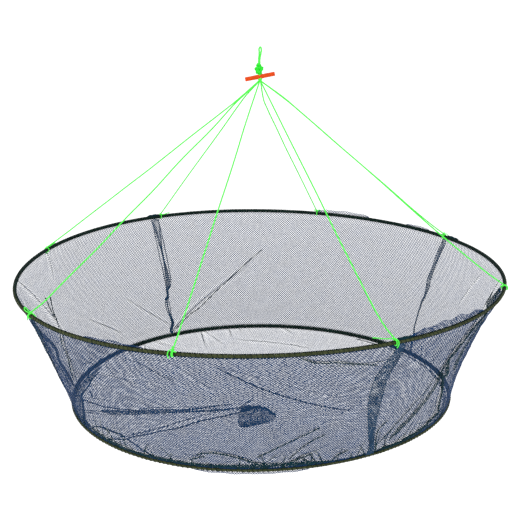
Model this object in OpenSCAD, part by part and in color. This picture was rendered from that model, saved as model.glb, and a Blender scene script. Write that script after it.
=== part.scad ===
// Folding lift net: two sprung hoops, a mesh wall and floor, and an eight-leg bridle.
// Millimetres, +Z up. The origin is the bearing point inside the top of the hanging loop,
// so the whole net hangs below z = 0.

/* [Hoops] */
// Diameter of the top hoop, to the middle of its sleeve
top_hoop_d = 1000; // [700:10:1200]
// Diameter of the bottom hoop as a share of the top hoop
bottom_share = 0.79; // [0.66:0.01:0.88]
// Diameter of the spring wire in both hoops
wire_d = 3; // [2:0.1:3.6]
// Outer diameter of the woven sleeve on both hoops
sleeve_d = 6; // [5:0.1:7]

/* [Net] */
// Drop from the top hoop to the bottom hoop
net_depth = 264; // [180:1:340]
// How far the wall bows inwards at half its depth
wall_bow = 8; // [0:1:16]
// How far the middle of the floor hangs below the bottom hoop
floor_sag = 66; // [40:1:90]
// Thickness allowed for one layer of mesh
mesh_t = 1; // [0.8:0.1:1.4]
// Width of the doubled mesh at each wall seam
seam_w = 14; // [8:1:18]

/* [Bait pocket] */
// Radius of the pocket's round side
pocket_r = 50; // [35:1:60]
// Distance from the middle of that round side to the straight mouth
pocket_mouth = 29; // [15:1:32]
// Turn of the pocket about the vertical
pocket_turn = -5; // [-30:1:30]

/* [Bridle] */
// Height of the gathering point above the top hoop
bridle_h = 400; // [250:1:500]
// Diameter of each bridle leg
leg_d = 2; // [1.6:0.1:2.2]

/* [Hanging loop] */
// Diameter of the hanging loop's cord
loop_d = 2.6; // [2:0.1:2.8]

/* [Toggle] */
// Length of the toggle bar
toggle_l = 61; // [45:1:80]
// Height of the toggle bar
toggle_h = 7.5; // [6:0.1:8]
// Front-to-back size of the toggle bar
toggle_w = 9; // [7:0.1:10]
// Tilt of the toggle bar on its bundle of legs
toggle_tilt = 11; // [0:1:12]

/* [Hidden] */

green = [0.32, 0.93, 0.25];
orange = [0.92, 0.33, 0.06];
olive = [0.27, 0.29, 0.15];
steel = [0.6, 0.6, 0.62];
mesh = [0.13, 0.24, 0.29];
dark_mesh = [0.07, 0.15, 0.18];

// Fine circles for the hoops, plain ones for the small round pieces
hoop_fn = 180;
small_fn = 40;
// Clearance between soft pieces, and between a wire and its sleeve
gap = 0.3;
fit = 0.03;

// Directions of the eight ties, which are made by hand and so are not quite evenly spaced.
// Leg 1 is at the left, and the count goes round clockwise as seen from above.
leg_turn = [161, 118, 74, 32, 347, 299, 252, 212];
// Directions of the four wall seams, each beside an even-numbered tie
seam_turn = [121, 28, 302, 214];

// Hanging loop and knot, from the bearing point down
loop_end_z = -29;
knot_top_z = -30.6;
knot_end_z = -53.2;
toggle_z = -58.2;
gather_z = -63;
// Right half of the loop's middle line, from the knot up to the top of the bight
loop_half = [
    [1.5, loop_end_z], [1.5, -25], [1.5, -20], [1.6, -15], [2, -10], [2.6, -5.5],
    [2.9, -2.2], [2.6, -0.4], [1.9, 0.6], [1, 1.15]
];

// Hoops
top_r = top_hoop_d / 2;
bottom_r = top_r * bottom_share;
top_z = gather_z - bridle_h;
bottom_z = top_z - net_depth;
wire_r = wire_d / 2;
sleeve_r = sleeve_d / 2;
ferrule_r = wire_r + 0.7;
ferrule_l = 24;
ferrule_turn = 95;
lashing_r = sleeve_r + 0.6;

// A tie is two turns of cord round the sleeve, a ball of a knot and a short tail
tie_turn_r = sleeve_r + 0.15 + leg_d / 2;
tie_reach = tie_turn_r + leg_d / 2;
tie_ball_r = 2.6;
// How far the ball and the tail stand off the turns' middle line
tie_ball_lift = 1.7;
tie_tail_lift = 1.4;
tie_tail_l = 14;
// Side of each tie on which its tail lies: -1 is anticlockwise along the hoop, 1 is clockwise
tie_tail_side = [1, 1, 1, -1, -1, 1, -1, -1];

// Wall: a straight line between the hoops, as seen in section, with a bow
wall_run = [bottom_r - top_r, bottom_z - top_z];
wall_len = norm(wall_run);
wall_dir = wall_run / wall_len;
wall_out = [-wall_dir[1], wall_dir[0]];
wall_start = tie_reach + gap;
wall_end = wall_len - lashing_r - gap;
wall_steps = 10;
seam_half_turn = seam_w / 2 / top_r * 180 / PI;
seam_gap_turn = 0.06;

// Floor: a shallow dish, hung inside the bottom hoop
floor_r = bottom_r - lashing_r - gap;
floor_steps = 14;

// Bait pocket, lying on the middle of the floor
pocket_x = -15;
pocket_y = 3;
pocket_t = 2 * mesh_t;
pocket_hem_d = 2.4;
pocket_reach = pocket_r + pocket_hem_d + gap + norm([pocket_x, pocket_y]);
pocket_z = floor_height(pocket_reach) + (mesh_t + pocket_hem_d) / 2 + gap;

// Bundle of legs through the toggle
bundle_r = leg_d / 2 / sin(20) + 0.1;
toggle_hole_r = bundle_r + leg_d / 2 + toggle_h / 2 * tan(toggle_tilt) + gap;
toggle_boss_r = toggle_hole_r + 2.4;
// Unit direction from a tie to the gathering point, in a leg's own upright plane
leg_rise = [bundle_r - top_r, bridle_h] / norm([bundle_r - top_r, bridle_h]);

// Point on the wall's middle line at a distance s from the top hoop, bowed inwards by bow
function wall_point(s, offset) =
    let (share = s / wall_len)
    [top_r, top_z] + wall_dir * s + wall_out * (offset - wall_bow * 4 * share * (1 - share));

// Height of the floor's middle surface at a distance r from the middle
function floor_height(r) = bottom_z - floor_sag * (1 - pow(r / floor_r, 2));

// Upright section of a strip of wall, t thick
module wall_section(t) {
    steps = [for (i = [0:wall_steps]) wall_start + (wall_end - wall_start) * i / wall_steps];
    outer = [for (s = steps) wall_point(s, t / 2)];
    inner = [for (i = [wall_steps:-1:0]) wall_point(steps[i], -t / 2)];
    polygon(concat(outer, inner));
}

// Strip of wall from one direction to another, turning anticlockwise
module wall_strip(from, to, t) {
    rotate([0, 0, from])
        rotate_extrude(angle = to - from, $fn = hoop_fn)
            wall_section(t);
}

// A tube with flat ends along a flat route, with facing = the normal of the route's plane
module cord(route, d, facing) {
    sides = 8;
    last = len(route) - 1;
    rings = [
        for (i = [0:last])
            let (
                along = route[min(i + 1, last)] - route[max(i - 1, 0)],
                across = cross(along, facing) / norm(cross(along, facing))
            )
            [for (k = [0:sides - 1])
                route[i] + d / 2 * (cos(360 * k / sides) * across + sin(360 * k / sides) * facing)]
    ];
    walls = [
        for (i = [0:last - 1], k = [0:sides - 1])
            let (a = i * sides + k, b = i * sides + (k + 1) % sides)
            each [[a, b, b + sides], [a, b + sides, a + sides]]
    ];
    first_cap = [for (k = [sides - 1:-1:0]) k];
    last_cap = [for (k = [0:sides - 1]) last * sides + k];
    polyhedron([for (ring = rings) each ring], concat([first_cap], walls, [last_cap]));
}

// Ring of round section, lying flat with its middle line at the given radius and height
module hoop_ring(r, z, tube_r) {
    translate([0, 0, z])
        rotate_extrude($fn = hoop_fn)
            translate([r, 0])
                circle(tube_r, $fn = small_fn);
}

module hoop_wire(r, z) {
    color(steel)
        hoop_ring(r, z, wire_r);
}

// Short arc of a hoop's own tube, centred on the ferrule's direction
module ferrule_arc(r, z, tube_r, length) {
    turn = length / r * 180 / PI;
    translate([0, 0, z])
        rotate([0, 0, ferrule_turn - turn / 2])
            rotate_extrude(angle = turn, $fn = hoop_fn)
                translate([r, 0])
                    circle(tube_r, $fn = small_fn);
}

// Crimped sleeve that joins the two ends of a hoop's wire
module hoop_ferrule(r, z) {
    color(steel)
        difference() {
            ferrule_arc(r, z, ferrule_r, ferrule_l);
            hoop_ring(r, z, wire_r + fit);
        }
}

module hoop_sleeve(r, z) {
    color(olive)
        difference() {
            hoop_ring(r, z, sleeve_r);
            hoop_ring(r, z, wire_r + fit);
            ferrule_arc(r, z, ferrule_r + fit, ferrule_l + 1);
        }
}

// Twine that binds the mesh to a hoop, as a thin tube round the sleeve from one direction to another
module lashing_arc(r, z, from, to) {
    translate([0, 0, z])
        rotate([0, 0, from])
            rotate_extrude(angle = to - from, $fn = hoop_fn)
                translate([r, 0])
                    difference() {
                        circle(lashing_r, $fn = small_fn);
                        circle(sleeve_r + fit, $fn = small_fn);
                    }
}

// The top lashing stops on each side of every tie
module top_hoop_lashing() {
    margin = (tie_turn_r + gap) / top_r * 180 / PI;
    color(dark_mesh)
        for (i = [0:7]) {
            from = leg_turn[(i + 1) % 8];
            to = leg_turn[i];
            lashing_arc(top_r, top_z, from + margin, (to > from ? to : to + 360) - margin);
        }
}

module bottom_hoop_lashing() {
    color(dark_mesh)
        translate([0, 0, bottom_z])
            rotate_extrude($fn = hoop_fn)
                translate([bottom_r, 0])
                    difference() {
                        circle(lashing_r, $fn = small_fn);
                        circle(sleeve_r + fit, $fn = small_fn);
                    }
}

// Wall panel n runs clockwise from seam n to the next seam
module wall_panel(n) {
    margin = seam_half_turn + seam_gap_turn;
    from = seam_turn[n % 4];
    to = seam_turn[n - 1];
    color(mesh)
        wall_strip(from + margin, (to > from ? to : to + 360) - margin, mesh_t);
}

// Band where two panels overlap and are sewn
module wall_seam(n) {
    color(dark_mesh)
        wall_strip(seam_turn[n - 1] - seam_half_turn, seam_turn[n - 1] + seam_half_turn, 2 * mesh_t);
}

module floor_net() {
    radii = [for (i = [0:floor_steps]) floor_r * i / floor_steps];
    upper = [for (r = radii) [r, floor_height(r) + mesh_t / 2]];
    lower = [for (i = [floor_steps:-1:0]) [radii[i], floor_height(radii[i]) - mesh_t / 2]];
    color(mesh)
        rotate_extrude($fn = hoop_fn)
            polygon(concat(upper, lower));
}

module pocket_place() {
    translate([pocket_x, pocket_y, pocket_z])
        rotate([0, 0, pocket_turn])
            children();
}

// Doubled mesh with a straight open mouth on the left and a round sewn side
module bait_pocket() {
    color(dark_mesh)
        pocket_place()
            difference() {
                cylinder(h = pocket_t, r = pocket_r, center = true, $fn = 96);
                translate([-pocket_mouth - pocket_r, 0, 0])
                    cube([2 * pocket_r, 3 * pocket_r, 2 * pocket_t], center = true);
            }
}

// Gathered hem along the far edge of the pocket
module pocket_hem() {
    color(dark_mesh)
        pocket_place()
            rotate([0, 0, -8])
                rotate_extrude(angle = 130, $fn = 96)
                    translate([pocket_r + pocket_hem_d / 2 + gap, 0])
                        circle(pocket_hem_d / 2, $fn = 24);
}

// Leg n goes down through the toggle, bends outwards and runs straight to its tie
module bridle_leg(n) {
    reach = tie_turn_r + tie_ball_lift + tie_ball_r + 0.2;
    low_end = [top_r, top_z] + leg_rise * reach;
    section = [
        [bundle_r, knot_end_z - 0.5],
        [bundle_r, gather_z + 0.5],
        [bundle_r + 0.6, gather_z - 0.9],
        [bundle_r + 2.2, gather_z - 2.3],
        low_end
    ];
    color(green)
        rotate([0, 0, leg_turn[n - 1]])
            cord([for (p = section) [p[0], 0, p[1]]], leg_d, [0, 1, 0]);
}

// Two turns round the sleeve, a ball of a knot on the leg's side, and a tail along the hoop
module hoop_tie(n) {
    rise = -atan2(leg_rise[1], leg_rise[0]);
    color(green)
        rotate([0, 0, leg_turn[n - 1]])
            translate([top_r, 0, top_z]) {
                for (side = [-1, 1])
                    translate([0, side * (leg_d / 2 + 0.05), 0])
                        rotate([90, 0, 0])
                            rotate_extrude($fn = small_fn)
                                translate([tie_turn_r, 0])
                                    circle(leg_d / 2, $fn = 24);
                rotate([0, rise, 0]) {
                    translate([tie_turn_r + tie_ball_lift, 0, 0])
                        sphere(tie_ball_r, $fn = 32);
                    translate([tie_turn_r + tie_tail_lift, 0, 0])
                        rotate([tie_tail_side[n - 1] * 90, 0, 0])
                            cylinder(h = tie_tail_l, r = leg_d / 2, $fn = 24);
                }
            }
}

// A doubled cord that runs up from the knot, round the bight and down again
module hanging_loop() {
    right = [for (p = loop_half) [p[0], 0, p[1]]];
    left = [for (i = [len(loop_half) - 1:-1:0]) [-loop_half[i][0], 0, loop_half[i][1]]];
    color(green)
        cord(concat(right, [[0, 0, loop_d / 2]], left), loop_d, [0, 1, 0]);
}

// Lumpy overhand knot of all the cords
module apex_knot() {
    top_lump_r = 5.6;
    middle_lump_r = 8.2;
    low_lump_r = 6.2;
    color(green) {
        translate([0, 0, knot_top_z - top_lump_r])
            sphere(top_lump_r, $fn = 48);
        translate([0, 0, (knot_top_z + knot_end_z) / 2 - 1.5])
            sphere(middle_lump_r, $fn = 48);
        translate([0, 0, knot_end_z + low_lump_r])
            sphere(low_lump_r, $fn = 48);
    }
}

// Bar with a round boss in the middle, bored across for the bundle of legs
module toggle() {
    color(orange)
        translate([0, 0, toggle_z])
            rotate([0, -toggle_tilt, 0])
                difference() {
                    union() {
                        cube([toggle_l, toggle_w - toggle_h * 0.4, toggle_h], center = true);
                        cube([toggle_l, toggle_w, toggle_h * 0.6], center = true);
                        for (y = [-1, 1], z = [-1, 1])
                            translate([0, y * (toggle_w / 2 - toggle_h * 0.2), z * toggle_h * 0.3])
                                rotate([0, 90, 0])
                                    cylinder(h = toggle_l, r = toggle_h * 0.2, center = true, $fn = 32);
                        cylinder(h = toggle_h, r = toggle_boss_r, center = true, $fn = 64);
                    }
                    cylinder(h = 2 * toggle_h, r = toggle_hole_r, center = true, $fn = 64);
                }
}

hanging_loop();
apex_knot();
toggle();
hoop_wire(top_r, top_z);  // top_hoop_wire
hoop_ferrule(top_r, top_z);  // top_hoop_ferrule
hoop_sleeve(top_r, top_z);  // top_hoop_sleeve
top_hoop_lashing();
hoop_wire(bottom_r, bottom_z);  // bottom_hoop_wire
hoop_ferrule(bottom_r, bottom_z);  // bottom_hoop_ferrule
hoop_sleeve(bottom_r, bottom_z);  // bottom_hoop_sleeve
bottom_hoop_lashing();
for (n = [1:4])
    wall_panel(n);
for (n = [1:4])
    wall_seam(n);
floor_net();
bait_pocket();
pocket_hem();
for (n = [1:8])
    bridle_leg(n);
for (n = [1:8])
    hoop_tie(n);
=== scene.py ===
"""Looks of the folding lift net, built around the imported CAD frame. Metres, +Z up, the front faces -Y."""

import math

import bpy
import numpy as np
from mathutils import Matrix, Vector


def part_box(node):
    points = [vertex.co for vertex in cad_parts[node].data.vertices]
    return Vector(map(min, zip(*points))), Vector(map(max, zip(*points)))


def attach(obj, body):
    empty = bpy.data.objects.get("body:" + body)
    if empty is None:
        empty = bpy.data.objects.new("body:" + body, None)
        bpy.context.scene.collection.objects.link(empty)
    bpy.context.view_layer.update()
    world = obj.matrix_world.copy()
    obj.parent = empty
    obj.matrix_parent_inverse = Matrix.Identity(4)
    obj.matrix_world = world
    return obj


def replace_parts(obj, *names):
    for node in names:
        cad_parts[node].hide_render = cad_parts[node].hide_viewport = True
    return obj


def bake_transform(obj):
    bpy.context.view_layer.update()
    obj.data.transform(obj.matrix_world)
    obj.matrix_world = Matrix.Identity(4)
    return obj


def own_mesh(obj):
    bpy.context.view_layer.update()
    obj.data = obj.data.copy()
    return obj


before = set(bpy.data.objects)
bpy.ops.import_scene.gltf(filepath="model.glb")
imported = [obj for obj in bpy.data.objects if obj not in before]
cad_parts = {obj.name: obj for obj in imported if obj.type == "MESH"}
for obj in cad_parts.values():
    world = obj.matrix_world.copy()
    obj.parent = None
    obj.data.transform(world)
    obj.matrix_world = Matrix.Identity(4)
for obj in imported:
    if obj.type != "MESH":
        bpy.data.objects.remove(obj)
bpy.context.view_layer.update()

SCENE = bpy.context.scene
TURN = 2 * math.pi
MM = 0.001
RNG = np.random.default_rng(7)
PITCH = 0.2935  # how far the camera looks down, in radians


# ---------------------------------------------------------------- measures taken from the frame
def ring_of(node, wire=3 * MM):
    """Radius and height of a hoop's wire."""
    lo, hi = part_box(node)
    return (hi.x - lo.x) / 2 - wire / 2, (lo.z + hi.z) / 2


TOP_R, TOP_Z = ring_of("top_hoop_wire")
LOW_R, LOW_Z = ring_of("bottom_hoop_wire")
KNOT_LOW, KNOT_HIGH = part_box("apex_knot")
BAR_LOW, BAR_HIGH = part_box("toggle")
FLOOR_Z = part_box("floor_net")[0].z + 0.5 * MM
DROP = TOP_Z - LOW_Z
LEG_AZ = np.radians([162.6, 119.2, 73.7, 32.1, 346.3, 298.7, 252.6, 212.5])

# A sprung hoop is never a true circle: second and third harmonics (cos 2, sin 2, cos 3, sin 3) in mm.
TOP_HOOP = {"r": TOP_R, "z": TOP_Z, "dr": (1.0, 5.6, 2.0, -4.3), "dz": (-0.3, -2.8, 0.4, 1.1)}
LOW_HOOP = {"r": LOW_R, "z": LOW_Z, "dr": (4.2, 5.1, 4.5, -3.0), "dz": (2.0, 1.3, -0.1, 0.0)}


def harmonics(c, az):
    return MM * (
        c[0] * np.cos(2 * az) + c[1] * np.sin(2 * az) + c[2] * np.cos(3 * az) + c[3] * np.sin(3 * az)
    )


def hoop(h, az, rho=0.0, phi=0.0):
    """Points of a hoop at azimuths az, rho from its centre line towards section angle phi (0 out, 90 degrees up)."""
    az = np.asarray(az, float)
    r = h["r"] + harmonics(h["dr"], az) + rho * np.cos(phi)
    z = h["z"] + harmonics(h["dz"], az) + rho * np.sin(phi)
    return np.stack([r * np.cos(az), r * np.sin(az), z + 0 * az], -1)


# ---------------------------------------------------------------- camera
cam = bpy.data.objects.new("camera", bpy.data.cameras.new("camera"))
SCENE.collection.objects.link(cam)
cam.data.lens, cam.data.sensor_width = 83.46, 36
cam.location = (0, -2.407, TOP_Z + 0.7501)
cam.rotation_euler = (math.pi / 2 - PITCH, 0, 0)
SCENE.camera = cam


# ---------------------------------------------------------------- mesh making
def make_mesh(name, verts, loops, sizes, uv=None, smooth=True):
    """A mesh object from arrays: corners, the corner index of every loop and the number of loops of every face."""
    me = bpy.data.meshes.new(name)
    verts = np.asarray(verts, np.float32)
    loops, sizes = np.asarray(loops, np.int32), np.asarray(sizes, np.int32)
    me.vertices.add(len(verts))
    me.vertices.foreach_set("co", verts.ravel())
    me.loops.add(len(loops))
    me.loops.foreach_set("vertex_index", loops)
    me.polygons.add(len(sizes))
    starts = np.concatenate([[0], np.cumsum(sizes)[:-1]]).astype(np.int32)
    me.polygons.foreach_set("loop_start", starts)
    me.update(calc_edges=True)
    if uv is not None:
        layer = me.uv_layers.new(name="along")
        layer.data.foreach_set("uv", np.asarray(uv, np.float32)[loops].ravel())
    me.polygons.foreach_set("use_smooth", np.full(len(sizes), smooth))
    ob = bpy.data.objects.new(name, me)
    SCENE.collection.objects.link(ob)
    return ob


class Shape:
    """Collects tubes and loose surfaces into one mesh."""

    def __init__(self):
        self.v, self.loops, self.sizes, self.uv, self.n = [], [], [], [], 0

    def add(self, verts, faces, uv):
        faces = np.asarray(faces)
        self.v.append(verts)
        self.uv.append(uv)
        self.loops.append((faces + self.n).ravel())
        self.sizes.append(np.full(len(faces), faces.shape[1]))
        self.n += len(verts)

    def grid(self, pts, closed_u=False, closed_v=False, uv=None):
        """A grid pts[i, j] of points as quads, j around a section."""
        nu, nv = pts.shape[:2]
        i = np.arange(nu if closed_u else nu - 1)
        j = np.arange(nv if closed_v else nv - 1)
        i, j = [a.ravel() for a in np.meshgrid(i, j, indexing="ij")]
        i2, j2 = (i + 1) % nu, (j + 1) % nv
        if uv is None:
            uv = np.stack(np.meshgrid(np.arange(nu), np.arange(nv) / nv, indexing="ij"), -1)
        quads = np.stack([i * nv + j, i2 * nv + j, i2 * nv + j2, i * nv + j2], -1)
        self.add(pts.reshape(-1, 3), quads, uv.reshape(-1, 2))

    def disc(self, rim, reverse=False):
        """Closes a tube's end with a fan of triangles."""
        n = len(rim)
        centre = rim.mean(0)
        k = np.arange(n)
        tris = np.stack([k, (k + 1) % n, np.full(n, n)], -1)
        if reverse:
            tris = tris[:, ::-1]
        self.add(np.vstack([rim, centre]), tris, np.zeros((n + 1, 2)))

    def tube(self, path, radius, sides=8, lobes=0, depth=0.0, pitch=1.0, closed=False, phase=0.0, flat=1.0):
        """A tube along a path, with an optional twisted lobed section (the lay of a cord)."""
        path = np.asarray(path, float)
        n = len(path)
        nxt = np.roll(path, -1, 0) if closed else np.vstack([path[1:], 2 * path[-1] - path[-2]])
        prv = np.roll(path, 1, 0) if closed else np.vstack([2 * path[0] - path[1], path[:-1]])
        tan = nxt - prv
        tan /= np.linalg.norm(tan, axis=1)[:, None] + 1e-12
        a = np.cross(tan[0], [0.0, 0.0, 1.0])
        if np.linalg.norm(a) < 0.1:
            a = np.cross(tan[0], [0.0, 1.0, 0.0])
        normals = []
        for t in tan:
            a = a - t * (a @ t)
            a = a / (np.linalg.norm(a) + 1e-12)
            normals.append(a)
        e1 = np.array(normals)
        e2 = np.cross(tan, e1)
        along = np.concatenate([[0], np.cumsum(np.linalg.norm(np.diff(path, axis=0), axis=1))])
        phi = np.arange(sides) * TURN / sides
        rad = np.broadcast_to(np.asarray(radius, float), (n,))[:, None]
        lay = phi[None] * lobes + (phase - along / pitch * TURN)[:, None]
        r = rad * (1 + depth * (np.abs(np.cos(lay / 2)) * 2 - 1 if lobes else 0 * lay))
        pts = path[:, None] + r[..., None] * (
            np.cos(phi)[None, :, None] * e1[:, None] + flat * np.sin(phi)[None, :, None] * e2[:, None]
        )
        uv = np.stack(
            [np.broadcast_to(along[:, None], r.shape) / 0.01, np.broadcast_to(phi[None] / TURN, r.shape)], -1
        )
        self.grid(pts, closed_u=closed, closed_v=True, uv=uv)
        if not closed:
            self.disc(pts[0])
            self.disc(pts[-1], reverse=True)
        return along[-1]

    def make(self, name, mat, body, slot, smooth=True):
        ob = make_mesh(
            name, np.vstack(self.v), np.concatenate(self.loops), np.concatenate(self.sizes), np.vstack(self.uv), smooth
        )
        return dress(ob, mat, body)


def dress(ob, mat, body):
    ob.data.materials.append(mat)
    if body:
        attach(ob, body)
    return ob


def smooth_path(points, n=40, closed=False):
    """A Catmull-Rom curve through a few control points."""
    p = np.asarray(points, float)
    m = len(p)
    t = np.linspace(0, m if closed else m - 1, n, endpoint=not closed)
    k = np.minimum(np.floor(t).astype(int), (m if closed else m - 1) - 1)
    f = (t - k)[:, None]
    idx = [(k + d) % m if closed else np.clip(k + d, 0, m - 1) for d in (-1, 0, 1, 2)]
    a, b, c, d = [p[i] for i in idx]
    return 0.5 * (2 * b + (c - a) * f + (2 * a - 5 * b + 4 * c - d) * f**2 + (3 * b - a - 3 * c + d) * f**3)


# ---------------------------------------------------------------- materials
def material(name, colour, rough, painted_glow=0.0, vary=0.2, scale=120.0, bump=0.3, fine=900.0,
             weave=None, metal=0.0, gloss=0.5):
    """Mottled colour with a fine bump. weave=(along, around) adds ribs from the tube's own UVs. Any emission strength
    given is painted light in the surface's own colour.
    """
    m = bpy.data.materials.new(name)
    m.use_nodes = True
    nt = m.node_tree
    n, link = nt.nodes, nt.links.new
    p = n["Principled BSDF"]
    for socket, value in (("Roughness", rough), ("Metallic", metal), ("Emission Color", (*colour, 1)),
                          ("Emission Strength", painted_glow), ("Specular IOR Level", gloss)):
        p.inputs[socket].default_value = value
    place = n.new("ShaderNodeTexCoord")
    noise = n.new("ShaderNodeTexNoise")
    noise.inputs["Scale"].default_value = scale
    noise.inputs["Detail"].default_value = 4
    link(place.outputs["Object"], noise.inputs["Vector"])
    ramp = n.new("ShaderNodeValToRGB")
    ramp.color_ramp.elements[0].position, ramp.color_ramp.elements[1].position = 0.3, 0.7
    ramp.color_ramp.elements[0].color = (*[c * (1 - vary) for c in colour], 1)
    ramp.color_ramp.elements[1].color = (*[min(1, c * (1 + vary)) for c in colour], 1)
    link(noise.outputs["Fac"], ramp.inputs["Fac"])
    shade = ramp.outputs["Color"]
    grain = n.new("ShaderNodeTexNoise")
    grain.inputs["Scale"].default_value = fine
    link(place.outputs["Object"], grain.inputs["Vector"])
    height = grain.outputs["Fac"]
    if weave:
        move = n.new("ShaderNodeMapping")
        move.inputs["Scale"].default_value = (weave[0], weave[1], 1)
        link(place.outputs["UV"], move.inputs["Vector"])
        rib = n.new("ShaderNodeTexWave")
        rib.wave_type, rib.bands_direction = "BANDS", "DIAGONAL"
        rib.inputs["Scale"].default_value = 1
        rib.inputs["Distortion"].default_value = 0.6
        link(move.outputs["Vector"], rib.inputs["Vector"])
        dark = n.new("ShaderNodeMix")
        dark.data_type, dark.blend_type = "RGBA", "MULTIPLY"
        dark.inputs[0].default_value = 0.45
        link(shade, dark.inputs[6])
        link(rib.outputs["Color"], dark.inputs[7])
        shade = dark.outputs[2]
        both = n.new("ShaderNodeMath")
        both.operation = "MULTIPLY_ADD"
        both.inputs[1].default_value = 1.6
        link(rib.outputs["Fac"], both.inputs[0])
        link(grain.outputs["Fac"], both.inputs[2])
        height = both.outputs[0]
    link(shade, p.inputs["Base Color"])
    b = n.new("ShaderNodeBump")
    b.inputs["Strength"].default_value = bump
    b.inputs["Distance"].default_value = 0.0004
    link(height, b.inputs["Height"])
    link(b.outputs["Normal"], p.inputs["Normal"])
    return m


# The cords' emission is painted light: it makes the neon green brighter than the lamps alone light it.
GREEN = material("neon_cord", (0.090, 0.92, 0.075), 0.55, painted_glow=0.35, vary=0.1, scale=260, bump=0.35, gloss=0.2,
    weave=(8, 6))
# The knot's cord: a deeper, more mottled green with less painted glow than the legs.
GREEN_DARK = material("neon_cord_knot", (0.040, 0.90, 0.045), 0.6, painted_glow=0.25, vary=0.25, scale=260, bump=0.4,
    gloss=0.2, weave=(8, 6))
ORANGE = material("toggle_foam", (0.78, 0.070, 0.003), 0.5, vary=0.14, scale=160, bump=0.25, fine=700, gloss=0.15)
OLIVE = material("woven_sleeve", (0.074, 0.092, 0.034), 0.75, vary=0.3, scale=90, bump=0.8, gloss=0.2, weave=(4, 5))
TWINE = material("lashing_twine", (0.010, 0.028, 0.022), 0.8, vary=0.35, scale=300, bump=0.5, gloss=0.2,
    weave=(10, 4))
STEEL = material("spring_steel", (0.42, 0.42, 0.44), 0.35, vary=0.1, scale=200, bump=0.1, metal=1.0)
NET = material("net_thread", (0.006, 0.036, 0.115), 0.7, vary=0.2, scale=40, bump=0.1, gloss=0.1)
NET_HEM = material("net_bound_edge", (0.0045, 0.016, 0.013), 0.75, vary=0.35, scale=60, bump=0.1, gloss=0.1)
NET_SEAM = material("net_sewn", (0.016, 0.050, 0.105), 0.7, vary=0.25, scale=60, bump=0.1, gloss=0.1)
# Darker thread colour for gathered, folded and doubled net: painted shade for the light those layers hold back.
NET_PAINTED_SHADE = material("net_painted_shade", (0.002, 0.024, 0.034), 0.75, vary=0.3, scale=60, bump=0.1, gloss=0.1)


# ---------------------------------------------------------------- the bridle's cords
LEG_D = 2.6 * MM
BUNDLE_R = 3.02 * MM  # the legs stand in a ring of this radius where they pass the crossbar
BAR_Z = (BAR_LOW.z + BAR_HIGH.z) / 2
GATHER = BAR_Z - 9.0 * MM  # where the legs part
LEG_TOP = KNOT_LOW.z - 0.5 * MM
RISE = [9.0, 9.0, 8.0, 9.5, 9.0, 9.0, 9.0, 9.5]  # height of each tie over the hoop, in mm
# How far each slack leg bows aside from a straight line, in mm at every tenth of its length.
TENTHS = np.linspace(0, 1, 11)
BOW = [
    [0, -3.7, -3.7, -3.2, -3.4, -3.5, -2.7, -2.6, -2.1, -1.8, -0.3],
    [0, 4.6, 4.3, 3.4, 3.1, 2.7, 2.2, 1.7, 1.3, 0.6, 0],
    [0, 9.8, 10.0, 8.8, 8.0, 6.6, 5.0, 4.0, 2.8, 1.5, 0],
    [0, -4.0, -3.2, -2.5, -1.5, -0.6, 0.1, 1.1, 2.3, 2.1, 0.5],
    [0, -3.5, -3.0, -1.7, -0.9, 0.8, 3.0, 4.4, 4.6, 4.4, 1.2],
    [0, 1.0, 1.9, 2.8, 3.8, 4.7, 5.8, 6.7, 7.6, 8.0, 3.0],
    [0, 0.5, 0.6, -0.2, -0.5, -0.5, -0.8, -0.6, -0.9, -0.9, -0.5],
    [0, 2.6, 0.8, 0, -1.0, -2.3, -3.4, -3.9, -4.0, -4.2, -3.0],
]
SIGHT_UP = np.array([0, math.sin(PITCH), math.cos(PITCH)])
for k, az in enumerate(LEG_AZ):
    out = np.array([math.cos(az), math.sin(az), 0])
    foot = hoop(TOP_HOOP, az) + out * (-2 * MM) + np.array([0, 0, RISE[k] * 0.75 * MM])
    start = [out * BUNDLE_R + [0, 0, z] for z in (LEG_TOP, LEG_TOP - 4 * MM, BAR_Z - 5 * MM)]
    turn = [out * 2.3 * MM + [0, 0, GATHER + 1.0 * MM], out * 4.4 * MM + [0, 0, GATHER - 1.6 * MM]]
    run = []
    line = foot - turn[1]
    side = np.array([line @ SIGHT_UP, 0, 0]) - line[0] * SIGHT_UP
    side /= np.linalg.norm(side)
    for s in np.linspace(0.03, 1, 24)[:-1]:
        wob = 0.3 * MM * math.sin(s * (9 + k) + k) * math.sin(s * math.pi)
        if k == 7:
            wob += 1.0 * MM * math.sin(s * 23) * math.sin(s * math.pi)
        run.append(turn[1] * (1 - s) + foot * s + side * (np.interp(s, TENTHS, BOW[k]) * MM + wob))
    path = smooth_path([*start, *turn, *run, foot], 150)
    s = Shape()
    length = s.tube(path, LEG_D / 2, sides=10, lobes=3, depth=0.08, pitch=7 * MM, phase=k)
    leg = s.make(f"leg_cord_{k + 1}", GREEN, "top_frame", "bridle_cord")
    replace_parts(leg, f"bridle_leg_{k + 1}")
    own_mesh(leg)

loop_pts = [
    (-1.9, -37), (-2.6, -33), (-3.2, -29), (-3.3, -25), (-3.0, -20), (-2.3, -15), (-2.2, -10), (-2.5, -5.5), (-2.3,
        -2.6),
    (-1.3, -0.6), (0.1, 0.1), (1.4, -0.4), (2.4, -2.4), (2.6, -5.5), (2.0, -10), (1.0, -15), (-0.2, -20), (-0.9, -25),
    (-0.9, -29), (-1.2, -33), (-1.4, -37),
]
turns = np.linspace(0, 1, len(loop_pts))
loop_path = smooth_path([((x + 0.4) * 0.86 * MM, 1.0 * MM * math.sin(7 * u), (z - 0.1) * MM) for u,
    (x, z) in zip(turns, loop_pts)], 160)
s = Shape()
loop_length = s.tube(loop_path, 1.5 * MM, sides=12, lobes=3, depth=0.10, pitch=8 * MM)
loop = s.make("loop_cord", GREEN, None, "bridle_cord")
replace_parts(loop, "hanging_loop")
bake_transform(loop)


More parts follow.
